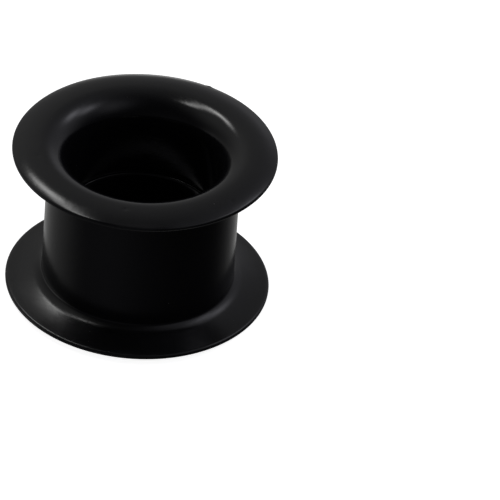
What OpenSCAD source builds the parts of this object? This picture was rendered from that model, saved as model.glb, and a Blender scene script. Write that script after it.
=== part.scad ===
// Ear tunnel: one moulded piece of flexible silicone, a short hollow barrel with a flared flange at each end.
// It stands on one flange. Its axis is Z, and the origin is the middle of the ring that it stands on.
// Millimetres.

/* [Barrel] */
// Outer diameter of the barrel, which is the size of the piercing
barrel_d = 14; // [8:0.5:30]
// Thickness of the barrel's wall
wall_t = 1.5; // [1.2:0.1:2]
// Overall length, over the highest ring of each face
length = 12.5; // [9:0.1:20]
// Radius of the small fillet between the barrel and the back of each flange
fillet_r = 0.3; // [0.2:0.1:0.6]

/* [Flanges] */
// How far each flange stands out beyond the barrel
flange_w = 2.6; // [2.2:0.1:3]
// Thickness of each flange at its rounded rim
rim_t = 0.5; // [0.4:0.05:0.8]
// Slope of the back of each flange at the rim, in degrees
back_slope = 8; // [2:1:12]
// Radius of the hollow curve of that back, from the rim down to the barrel
flare_r = 6.7; // [5:0.1:10]
// Radius of the broad shoulder between the highest ring and the rim
shoulder_r = 5.5; // [3.6:0.1:8]
// Radius of the bell-shaped lip between the bore and the highest ring
mouth_r = 2.1; // [1.5:0.1:2.3]

/* [Mould groove] */
// Width of the groove round the middle of the bore, where the two mould cores meet
groove_w = 0.3; // [0.1:0.05:0.6]
// Depth of that groove
groove_depth = 0.25; // [0.1:0.05:0.5]

/* [Hidden] */
$fn = 144;

// A hair of overlap, so that neighbouring lines and arcs of the section cross and leave no sliver
overlap = 0.0005;

barrel_r = barrel_d / 2;
bore_r = barrel_r - wall_t;
flange_r = barrel_r + flange_w;
half_l = length / 2;
rim_r = rim_t / 2;

// A point at a distance and an angle from another point
function polar(c, r, angle) = [c[0] + r * cos(angle), c[1] + r * sin(angle)];

// The direction from one point to another
function angle_from(a, b) = atan2(b[1] - a[1], b[0] - a[0]);

// The upper half of the wall's section, in the plane of radius and height above the middle.
// The lip's circle touches the bore. Its highest point is the shoulder's too, and the shoulder touches the rim.
lip_c = [bore_r + mouth_r, half_l - mouth_r];
crest = [lip_c[0], half_l];
shoulder_c = [lip_c[0], half_l - shoulder_r];
rim_x = flange_r - rim_r;
rim_c = [rim_x, shoulder_c[1] + sqrt(pow(shoulder_r - rim_r + overlap, 2) - pow(rim_x - lip_c[0], 2))];

// Where the arcs start and end
lip_start = [bore_r, lip_c[1]];
rim_start = polar(rim_c, rim_r - 2 * overlap, angle_from(shoulder_c, rim_c));
rim_end = polar(rim_c, rim_r - overlap, back_slope - 90);

// The back is a hollow arc from the rim to the fillet, which touches it and the barrel
flare_c = polar(rim_end, flare_r, back_slope - 90);
fillet_x = barrel_r + fillet_r;
fillet_c = [fillet_x, flare_c[1] + sqrt(pow(flare_r - fillet_r, 2) - pow(fillet_x - flare_c[0], 2))];
fillet_end = polar(flare_c, flare_r, angle_from(flare_c, fillet_c));

// The part of a circle that lies beyond the straight line from one of its points to another
module arc(c, r, from, to) {
    intersection() {
        translate(c) circle(r = r);
        polygon([from, polar(c, 2 * r, angle_from(c, from)), polar(c, 2 * r, angle_from(c, to)), to]);
    }
}

// The wall and the flange, with straight lines in place of the arcs that bulge, less those that are hollow
module straight_section() {
    difference() {
        polygon([[bore_r, 0], [barrel_r, 0], [barrel_r, fillet_c[1]], fillet_c, fillet_end,
                 rim_end, rim_c, rim_start, crest, lip_start]);
        arc(flare_c, flare_r, fillet_end, rim_end);
        translate(fillet_c) circle(r = fillet_r + overlap);
    }
}

module half_section() {
    straight_section();
    translate(rim_c) circle(r = rim_r);
    arc(shoulder_c, shoulder_r, rim_start, crest);
    arc(lip_c, mouth_r, crest, lip_start);
}

module tunnel() {
    color("#1b1b1d")
    translate([0, 0, half_l])
    rotate_extrude()
    difference() {
        union() {
            half_section();
            mirror([0, 1]) half_section();
        }
        translate([bore_r - groove_depth, -groove_w / 2]) square([2 * groove_depth, groove_w]);
    }
}

tunnel();
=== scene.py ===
import math

import bpy
from mathutils import Matrix, Vector, noise


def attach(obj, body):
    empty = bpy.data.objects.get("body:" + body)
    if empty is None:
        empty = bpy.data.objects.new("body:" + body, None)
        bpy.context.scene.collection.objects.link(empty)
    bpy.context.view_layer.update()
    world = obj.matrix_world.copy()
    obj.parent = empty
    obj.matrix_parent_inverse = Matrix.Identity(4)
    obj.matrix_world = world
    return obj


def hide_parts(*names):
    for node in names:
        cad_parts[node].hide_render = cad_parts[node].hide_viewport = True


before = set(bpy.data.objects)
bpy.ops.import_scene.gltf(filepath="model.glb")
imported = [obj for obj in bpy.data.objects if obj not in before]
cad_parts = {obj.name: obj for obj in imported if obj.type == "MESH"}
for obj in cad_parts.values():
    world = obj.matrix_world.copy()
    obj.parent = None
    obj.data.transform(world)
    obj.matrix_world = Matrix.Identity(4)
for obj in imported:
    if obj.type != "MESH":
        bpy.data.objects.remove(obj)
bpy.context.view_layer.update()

# Ear tunnel: one flexible moulding in satin black silicone, which stands upright on its lower flange.
# Lengths are in millimetres up to the mesh, which is in metres. Azimuths run from +X towards +Y, in degrees.
MM = 0.001

# The wall's section, as in the CAD part, but for two curves that differ from it by up to 0.13 mm:
# the shoulder rolls off a little more towards the rim, and the hollow back bends up more tightly at its foot
BARREL_R = 7.0
BORE_R = 5.5
FLANGE_R = 9.6
HALF_L = 6.25
FILLET_R = 0.3
RIM_R = 0.2
BACK_SLOPE = 8.0
FLARE_R = 12.0
FOOT_START = 16.5
FOOT_R = 1.5
SHOULDER_R = 5.2
ROLL_START = 11.0
ROLL_R = 3.8
MOUTH_R = 2.1
GROOVE_HALF_W = 0.15
GROOVE_DEPTH = 0.25
GROOVE_EDGE_R = 0.05

# How finely the section and its turn round the axis are cut up
AROUND = 280
ARC_STEPS = {"edge": 4, "lip": 30, "shoulder": 18, "roll": 12, "rim": 14, "flare": 14, "foot": 12,
             "fillet": 8}
STRAIGHT_STEPS = {"wall": 14, "barrel": 14}

# The parting lines that the two side halves of the mould leave on the barrel, the backs and the rims
SEAM_AZIMUTHS = (63.5, 243.5)
SEAM_HEIGHT = 0.006
SEAM_HALF_W = 0.07

# How far the rim's skin may turn towards the face, as a sine, before the backs' finish and the parting
# line are gone
RIM_FADE = 0.3

# A nub of flash where one of those lines crosses the upper rim
NUB_AZIMUTH = 63.5
NUB_HEIGHT = 0.05
NUB_HALF_W = 0.2

# Small dents in the upper face: azimuth, distance from the axis, depth and half width
DENTS = (
    (262.5, 8.0, 0.03, 0.14),
    (302.6, 6.5, 0.04, 0.16),
    (318.0, 8.7, 0.02, 0.12),
    (196.0, 7.9, 0.015, 0.15),
)

# The turn is cut up more finely on both sides of a parting line or a dent, and an even cut keeps a margin
# from the outermost of those
FINE_CUTS = (0.0, 0.15, 0.3, 0.45, 0.6)
FINE_MARGIN = 0.1

# The soft wall isn't quite round or level: how far it sinks, and how long the waves are
SINK = 0.035
WAVE_LENGTH = 7.0

# Where the rims are handled most the skin is paler: how wide that band is, how long its patches are,
# and how much of the band they cover
WEAR_BAND = 0.3
WEAR_PATCH = 1.6
WEAR_CONTRAST = 1.6
WEAR_THRESHOLD = 0.3

# The skin: how long its patches, ripples and grain are, how deep the last two are, and between which two
# values of a noise its effect grows. The mould left the backs and the barrel more matt than the faces.
PATCH_SIZE = 2.2
RIPPLE_SIZE = 0.7
RIPPLE_DEPTH = 0.006
GRAIN_SIZE = 0.12
GRAIN_DEPTH = 0.0014
NOISE_LOW, NOISE_HIGH = 0.3, 0.7
PATCH_ROUGHNESS = (0.1, 0.15)
BACK_ROUGHNESS = 0.1
GRAIN_ROUGHNESS = 0.02
SILICONE_IOR = 1.43
BLACK = (0.0045, 0.0045, 0.0055, 1)
FADED_BLACK = (0.0075, 0.0075, 0.0089, 1)
WORN_BLACK = (0.02, 0.02, 0.021, 1)

# Dust: about how far apart the specks are, how large they are beside that, and the share of places
# without one
DUST_SPACING = 0.9
DUST_SPECK = (0.025, 0.05)
DUST_FREE = 0.55
DUST_COLOUR = (0.09, 0.09, 0.088, 1)

# The floor: half its width in metres, its grey, its own light, and its roughness
FLOOR_HALF_W = 2.0
FLOOR_GREY = (0.8, 0.8, 0.8, 1)
FLOOR_LIGHT = 0.93
FLOOR_ROUGHNESS = 0.9

# A black card on the floor under the bore, which no camera sees: painted shade for the shaded ground inside
# the bore, seen only in the bore's reflections. Its radius and height, and how many sides
CARD_R = 5.4
CARD_HEIGHT = 0.2
CARD_SIDES = 48

# The camera, as fitted to the photograph: a long lens, so nearly parallel lines
FRAME_PX = 500
FOCAL_PX = 10000
PX_PER_MM = 13.844
CENTRE_PX = (141.1, 215.7)
CAMERA_ELEVATION = 36.1
AXIS_LEAN = 4.14
SENSOR_MM = 36.0
CLIP = (0.01, 10)

# The studio: round soft lights, each with azimuth, elevation, tightness, brightness at its middle, and tint.
# Eight in a row make up the key, a long narrow light bar on the left.
# The ones below the horizon are the bright table round the part, which the plain floor stands in for.
NEUTRAL = (1.0, 1.0, 0.99)
COOL = (0.98, 0.98, 1.07)
LIGHTS = {
    "key bar 1": (124.5, 46.5, 400, 4.0, NEUTRAL),
    "key bar 2": (125.3, 51.5, 400, 6.0, NEUTRAL),
    "key bar 3": (127, 55.4, 400, 4.0, NEUTRAL),
    "key bar 4": (132.7, 58.5, 400, 3.2, NEUTRAL),
    "key bar 5": (139.9, 61.5, 400, 3.0, NEUTRAL),
    "key bar 6": (149, 64.1, 400, 3.0, NEUTRAL),
    "key bar 7": (160.1, 66.2, 400, 4.0, NEUTRAL),
    "key bar 8": (173.1, 67.3, 400, 5.0, NEUTRAL),
    "left panel": (168, 48, 11, 0.29, NEUTRAL),
    "second": (10, 47.6, 89, 1.5, COOL),
    "second far": (34, 43.2, 105, 1.7, COOL),
    "second glow": (30, 40.2, 9, 0.42, COOL),
    "right panel": (327, 46.6, 16, 0.31, COOL),
    "back wall": (120, 35, 8.3, 0.25, NEUTRAL),
    "back wall middle": (94, 30.3, 7.3, 0.073, NEUTRAL),
    "low right": (48, 6.2, 10, 0.14, COOL),
    "low middle": (75, 15.8, 62, 0.19, COOL),
    "horizon": (90, -7.6, 158, 0.58, NEUTRAL),
    "table behind": (93, -29, 6.4, 0.55, NEUTRAL),
    "table left": (174, -10.8, 19, 0.5, NEUTRAL),
    "table far left": (149, -14.7, 12, 0.21, NEUTRAL),
    "table front": (237, -21, 3.9, 0.09, COOL),
    "table below": (0, -83, 14, 0.27, NEUTRAL),
    "room": (300, 7, 2.5, 0.02, COOL),
    "ceiling": (90, 74, 8, 0.06, NEUTRAL),
}


def arc(centre, radius, start, end, steps):
    """Points on an arc of the section, from one angle to the other in degrees."""
    angles = [math.radians(start + (end - start) * i / steps) for i in range(steps + 1)]
    return [(centre[0] + radius * math.cos(a), centre[1] + radius * math.sin(a)) for a in angles]


def line(start, end, steps):
    """Points between two corners of the section, without the corners."""
    return [(start[0] + (end[0] - start[0]) * i / steps, start[1] + (end[1] - start[1]) * i / steps)
            for i in range(1, steps)]


def upper_section():
    """The section's upper half, as (radius, height above the middle), from the groove round to the barrel."""
    lip_c = (BORE_R + MOUTH_R, HALF_L - MOUTH_R)
    shoulder_c = (lip_c[0], HALF_L - SHOULDER_R)
    rim_x = FLANGE_R - RIM_R
    roll_c = arc(shoulder_c, SHOULDER_R - ROLL_R, 90 - ROLL_START, 0, 1)[0]
    rim_angle = math.degrees(math.acos((rim_x - roll_c[0]) / (ROLL_R - RIM_R)))
    rim_c = arc(roll_c, ROLL_R - RIM_R, rim_angle, 0, 1)[0]
    slope = math.radians(BACK_SLOPE)
    flare_c = (rim_x + (RIM_R + FLARE_R) * math.sin(slope), rim_c[1] - (RIM_R + FLARE_R) * math.cos(slope))
    foot_angle = 90 + FOOT_START
    foot_c = arc(flare_c, FLARE_R - FOOT_R, foot_angle, 0, 1)[0]
    fillet_angle = math.degrees(math.acos((BARREL_R + FILLET_R - foot_c[0]) / (FOOT_R - FILLET_R)))
    fillet_c = arc(foot_c, FOOT_R - FILLET_R, fillet_angle, 0, 1)[0]

    floor_r = BORE_R + GROOVE_DEPTH
    edge_c = (BORE_R + GROOVE_EDGE_R, GROOVE_HALF_W + GROOVE_EDGE_R)
    corner_c = (floor_r - GROOVE_EDGE_R, GROOVE_HALF_W - GROOVE_EDGE_R)
    points = [(floor_r, 0.0)]
    points += arc(corner_c, GROOVE_EDGE_R, 0, 90, ARC_STEPS["edge"])
    points += arc(edge_c, GROOVE_EDGE_R, 270, 180, ARC_STEPS["edge"])
    points += line(points[-1], (BORE_R, lip_c[1]), STRAIGHT_STEPS["wall"])
    points += arc(lip_c, MOUTH_R, 180, 90, ARC_STEPS["lip"])
    points += arc(shoulder_c, SHOULDER_R, 90, 90 - ROLL_START, ARC_STEPS["shoulder"])[1:]
    points += arc(roll_c, ROLL_R, 90 - ROLL_START, rim_angle, ARC_STEPS["roll"])[1:]
    points += arc(rim_c, RIM_R, rim_angle, BACK_SLOPE - 90, ARC_STEPS["rim"])[1:]
    points += arc(flare_c, FLARE_R, BACK_SLOPE + 90, foot_angle, ARC_STEPS["flare"])[1:]
    points += arc(foot_c, FOOT_R, foot_angle, fillet_angle, ARC_STEPS["foot"])[1:]
    points += arc(fillet_c, FILLET_R, fillet_angle, 180, ARC_STEPS["fillet"])[1:]
    points += line(points[-1], (BARREL_R, 0.0), STRAIGHT_STEPS["barrel"])
    points.append((BARREL_R, 0.0))
    return points


def full_section():
    """The closed section: the upper half, then the lower half back to the start."""
    upper = upper_section()
    lower = [(r, -h) for r, h in reversed(upper[1:-1])]
    return upper + lower


def outward(section, k):
    """The direction that leaves the wall at one point of the closed section."""
    before, after = section[k - 1], section[(k + 1) % len(section)]
    dr, dh = after[0] - before[0], after[1] - before[1]
    size = math.hypot(dr, dh)
    return -dh / size, dr / size


def azimuths():
    """The angles of the turn: even steps, and finer ones across the parting lines and the dents."""
    places = SEAM_AZIMUTHS + tuple(dent[0] for dent in DENTS)
    even = {360 * i / AROUND for i in range(AROUND)}
    fine = {place + side * cut for place in places for cut in FINE_CUTS for side in (-1, 1)}
    clear = {a for a in even if all(abs(a - p) > FINE_CUTS[-1] + FINE_MARGIN for p in places)}
    return sorted(clear | fine)


def outer(r, h, out):
    """How far a point counts to the backs and the barrel: 1 there, 0 on the faces and in the bore."""
    towards_face = max(0.0, out[1] * math.copysign(1.0, h))
    return max(0.0, 1.0 - towards_face / RIM_FADE) if r >= BARREL_R else 0.0


def seam_ridge(r, h, out, azimuth):
    """The height of the parting line at a point."""
    aside = min(abs(azimuth - s) for s in SEAM_AZIMUTHS)
    across = math.radians(aside) * r / SEAM_HALF_W
    return SEAM_HEIGHT * outer(r, h, out) * max(0.0, 1.0 - across * across) ** 2


def nub(r, h, azimuth):
    """How far the flash stands out at a point of the upper rim."""
    aside = math.radians(azimuth - NUB_AZIMUTH) * r
    below = FLANGE_R - r
    return NUB_HEIGHT * math.exp(-(aside * aside + below * below) / NUB_HALF_W ** 2) if h > 0 else 0.0


def dent(r, h, azimuth):
    """How deep the upper face is dented at a point."""
    depth = 0.0
    if h > 0:
        for place, distance, deep, half_w in DENTS:
            aside = math.radians(azimuth - place) * r
            depth += deep * math.exp(-(aside * aside + (r - distance) ** 2) / half_w ** 2)
    return depth


def sink(x, y, h):
    """How far the wall sinks at a point, between nothing and SINK."""
    return SINK * (0.5 - 0.5 * noise.noise(Vector((x, y, h)) / WAVE_LENGTH))


def wear(x, y, r, h):
    """How worn the skin is, from 0 to 1: in patches along the rims."""
    edge = math.exp(-((FLANGE_R - r) / WEAR_BAND) ** 2)
    patch = 0.5 + 0.5 * noise.noise(Vector((x, y, h)) / WEAR_PATCH)
    return edge * min(1.0, max(0.0, WEAR_CONTRAST * patch - WEAR_THRESHOLD))


def tunnel_mesh():
    """The section turned round the axis, as one closed skin of four-sided faces."""
    section = full_section()
    outs = [outward(section, k) for k in range(len(section))]
    turn = azimuths()
    verts, faces, worn, matts = [], [], [], []
    for azimuth in turn:
        c, s = math.cos(math.radians(azimuth)), math.sin(math.radians(azimuth))
        for (r, h), out in zip(section, outs):
            ridge = seam_ridge(r, h, out, azimuth) + nub(r, h, azimuth) - dent(r, h, azimuth)
            down = sink(r * c, r * s, h)
            round_r = r + ridge * out[0] - down
            level_h = h + ridge * out[1] - down * max(0.0, h / HALF_L)
            verts.append((round_r * c * MM, round_r * s * MM, (level_h + HALF_L) * MM))
            worn.append(wear(r * c, r * s, r, h))
            matts.append(outer(r, h, out))
    count = len(section)
    for i in range(len(turn)):
        here, there = i * count, (i + 1) % len(turn) * count
        for k in range(count):
            after = (k + 1) % count
            faces.append((here + k, here + after, there + after, there + k))
    mesh = bpy.data.meshes.new("tunnel_skin")
    mesh.from_pydata(verts, [], faces)
    mesh.update()
    mesh.polygons.foreach_set("use_smooth", [True] * len(faces))
    mesh.attributes.new("wear", "FLOAT", "POINT").data.foreach_set("value", worn)
    mesh.attributes.new("matt", "FLOAT", "POINT").data.foreach_set("value", matts)
    return mesh


def add_node(tree, kind, settings=None, inputs=None):
    """A new node with its settings, and its inputs set to a value or linked to another node's output."""
    made = tree.nodes.new(kind)
    for name, value in (settings or {}).items():
        setattr(made, name, value)
    for name, value in (inputs or {}).items():
        if isinstance(value, bpy.types.NodeSocket):
            tree.links.new(value, made.inputs[name])
        else:
            made.inputs[name].default_value = value
    return made


def silicone():
    """Satin black silicone: grain, patches that shine more or less, paler worn rims and a little dust."""
    mat = bpy.data.materials.new("black_silicone")
    mat.use_nodes = True
    tree = mat.node_tree
    shader = tree.nodes["Principled BSDF"]
    shader.inputs["IOR"].default_value = SILICONE_IOR
    place = add_node(tree, "ShaderNodeTexCoord").outputs["Object"]

    def noise_of(size_mm):
        made = add_node(tree, "ShaderNodeTexNoise", None, {"Vector": place, "Scale": 1 / (size_mm * MM)})
        return made.outputs["Fac"]

    def spread(value, low, high, start=NOISE_LOW, end=NOISE_HIGH):
        made = add_node(tree, "ShaderNodeMapRange", None,
                        {"Value": value, "From Min": start, "From Max": end, "To Min": low, "To Max": high})
        return made.outputs["Result"]

    def blend(amount, under, over):
        made = add_node(tree, "ShaderNodeMix", {"data_type": "RGBA"}, {"Factor": amount})
        for name, value in (("A", under), ("B", over)):
            socket = next(i for i in made.inputs if i.name == name and i.type == "RGBA")
            if isinstance(value, bpy.types.NodeSocket):
                tree.links.new(value, socket)
            else:
                socket.default_value = value
        return next(o for o in made.outputs if o.type == "RGBA")

    patches, ripple, grain = noise_of(PATCH_SIZE), noise_of(RIPPLE_SIZE), noise_of(GRAIN_SIZE)
    worn = add_node(tree, "ShaderNodeAttribute", {"attribute_name": "wear"}).outputs["Fac"]
    specks = add_node(tree, "ShaderNodeTexVoronoi", None, {"Vector": place, "Scale": 1 / (DUST_SPACING * MM)})
    chosen = add_node(tree, "ShaderNodeMath", {"operation": "GREATER_THAN"},
                      {0: specks.outputs["Color"], 1: DUST_FREE})
    dust = add_node(tree, "ShaderNodeMath", {"operation": "MULTIPLY"},
                    {0: spread(specks.outputs["Distance"], 1, 0, *DUST_SPECK), 1: chosen.outputs["Value"]})

    skin = blend(worn, blend(patches, BLACK, FADED_BLACK), WORN_BLACK)
    tree.links.new(blend(dust.outputs["Value"], skin, DUST_COLOUR), shader.inputs["Base Color"])

    back = add_node(tree, "ShaderNodeAttribute", {"attribute_name": "matt"}).outputs["Fac"]
    even = add_node(tree, "ShaderNodeMath", {"operation": "MULTIPLY_ADD"},
                    {0: back, 1: BACK_ROUGHNESS, 2: spread(patches, *PATCH_ROUGHNESS)})
    satin = add_node(tree, "ShaderNodeMath", {"operation": "ADD"},
                     {0: even.outputs["Value"], 1: spread(grain, -GRAIN_ROUGHNESS, GRAIN_ROUGHNESS)})
    tree.links.new(satin.outputs["Value"], shader.inputs["Roughness"])

    rippled = add_node(tree, "ShaderNodeBump", None, {"Height": ripple, "Distance": RIPPLE_DEPTH * MM})
    grained = add_node(tree, "ShaderNodeBump", None,
                       {"Height": grain, "Distance": GRAIN_DEPTH * MM, "Normal": rippled.outputs["Normal"]})
    tree.links.new(grained.outputs["Normal"], shader.inputs["Normal"])
    return mat


def build_tunnel():
    """The tunnel's body, which stands in for the CAD part's one solid."""
    piece = bpy.data.objects.new("ear_tunnel_body", tunnel_mesh())
    bpy.context.scene.collection.objects.link(piece)
    piece.data.materials.append(silicone())
    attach(piece, "root")
    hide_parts("tunnel")


def build_floor():
    """A plain near-white floor. The part takes its light from the studio's lights alone, below as above."""
    w = FLOOR_HALF_W
    mesh = bpy.data.meshes.new("studio_floor")
    mesh.from_pydata([(-w, -w, 0), (w, -w, 0), (w, w, 0), (-w, w, 0)], [], [(0, 1, 2, 3)])
    floor = bpy.data.objects.new("studio_floor", mesh)
    bpy.context.scene.collection.objects.link(floor)
    floor.visible_glossy = floor.visible_diffuse = floor.visible_shadow = False
    mat = bpy.data.materials.new("pale_floor")
    mat.use_nodes = True
    shader = mat.node_tree.nodes["Principled BSDF"]
    shader.inputs["Base Color"].default_value = FLOOR_GREY
    shader.inputs["Roughness"].default_value = FLOOR_ROUGHNESS
    shader.inputs["Specular IOR Level"].default_value = 0.0
    shader.inputs["Emission Color"].default_value = (1, 1, 1, 1)
    shader.inputs["Emission Strength"].default_value = FLOOR_LIGHT
    mesh.materials.append(mat)


def build_card():
    """The black card, which keeps the lights below the horizon out of the bore, as the real ground does:
    painted shade, black where the ground in the bore lies in shade.
    """
    turns = [2 * math.pi * i / CARD_SIDES for i in range(CARD_SIDES)]
    ring = [(CARD_R * math.cos(a) * MM, CARD_R * math.sin(a) * MM, CARD_HEIGHT * MM) for a in turns]
    mesh = bpy.data.meshes.new("shade_card")
    mesh.from_pydata(ring, [], [tuple(range(CARD_SIDES))])
    card = bpy.data.objects.new("shade_card", mesh)
    bpy.context.scene.collection.objects.link(card)
    card.visible_camera = False
    # Painted shade: a black, unlit finish for the shaded ground inside the bore
    mat = bpy.data.materials.new("shade_card_black")
    mat.use_nodes = True
    shader = mat.node_tree.nodes["Principled BSDF"]
    shader.inputs["Base Color"].default_value = (0, 0, 0, 1)
    shader.inputs["Specular IOR Level"].default_value = 0.0
    mesh.materials.append(mat)


def build_camera():
    """The photograph's camera: where it stood, how it leaned and what it had in the middle."""
    elevation, lean = math.radians(CAMERA_ELEVATION), math.radians(AXIS_LEAN)
    forward = Vector((0, math.cos(elevation), -math.sin(elevation)))
    level_right = Vector((1, 0, 0))
    level_down = forward.cross(level_right)
    right = level_right * math.cos(lean) - level_down * math.sin(lean)
    down = forward.cross(right)
    centre = Vector((0, 0, HALF_L * MM))
    offset = [(CENTRE_PX[i] - FRAME_PX / 2) / PX_PER_MM * MM for i in (0, 1)]
    place = centre - right * offset[0] - down * offset[1] - forward * (FOCAL_PX / PX_PER_MM * MM)
    data = bpy.data.cameras.new("photo_camera")
    data.sensor_width = SENSOR_MM
    data.lens = SENSOR_MM * FOCAL_PX / FRAME_PX
    data.clip_start, data.clip_end = CLIP
    camera = bpy.data.objects.new("photo_camera", data)
    camera.matrix_world = Matrix.Translation(place) @ Matrix((right, -down, -forward)).transposed().to_4x4()
    bpy.context.scene.collection.objects.link(camera)
    bpy.context.scene.camera = camera


def build_lights():
    """The studio's lights on the world's sphere, each a round spot that fades from its middle."""
    world = bpy.data.worlds.new("studio")
    world.use_nodes = True
    tree = world.node_tree
    ray = add_node(tree, "ShaderNodeTexCoord").outputs["Generated"]
    total = (0.0, 0.0, 0.0)
    for azimuth, elevation, tightness, brightness, tint in LIGHTS.values():
        a, e = math.radians(azimuth), math.radians(elevation)
        aim = (math.cos(e) * math.cos(a), math.cos(e) * math.sin(a), math.sin(e))
        near = add_node(tree, "ShaderNodeVectorMath", {"operation": "DOT_PRODUCT"}, {0: ray, 1: aim})
        fall = add_node(tree, "ShaderNodeMath", {"operation": "MULTIPLY_ADD"},
                        {0: near.outputs["Value"], 1: tightness, 2: -tightness})
        spot = add_node(tree, "ShaderNodeMath", {"operation": "EXPONENT"}, {0: fall.outputs["Value"]})
        colour = [brightness * t for t in tint]
        added = add_node(tree, "ShaderNodeVectorMath", {"operation": "MULTIPLY_ADD"},
                         {0: spot.outputs["Value"], 1: colour, 2: total})
        total = added.outputs["Vector"]
    tree.links.new(total, tree.nodes["Background"].inputs["Color"])
    bpy.context.scene.world = world


build_tunnel()
build_floor()
build_card()
build_camera()
build_lights()
bpy.context.scene.view_settings.view_transform = "Standard"
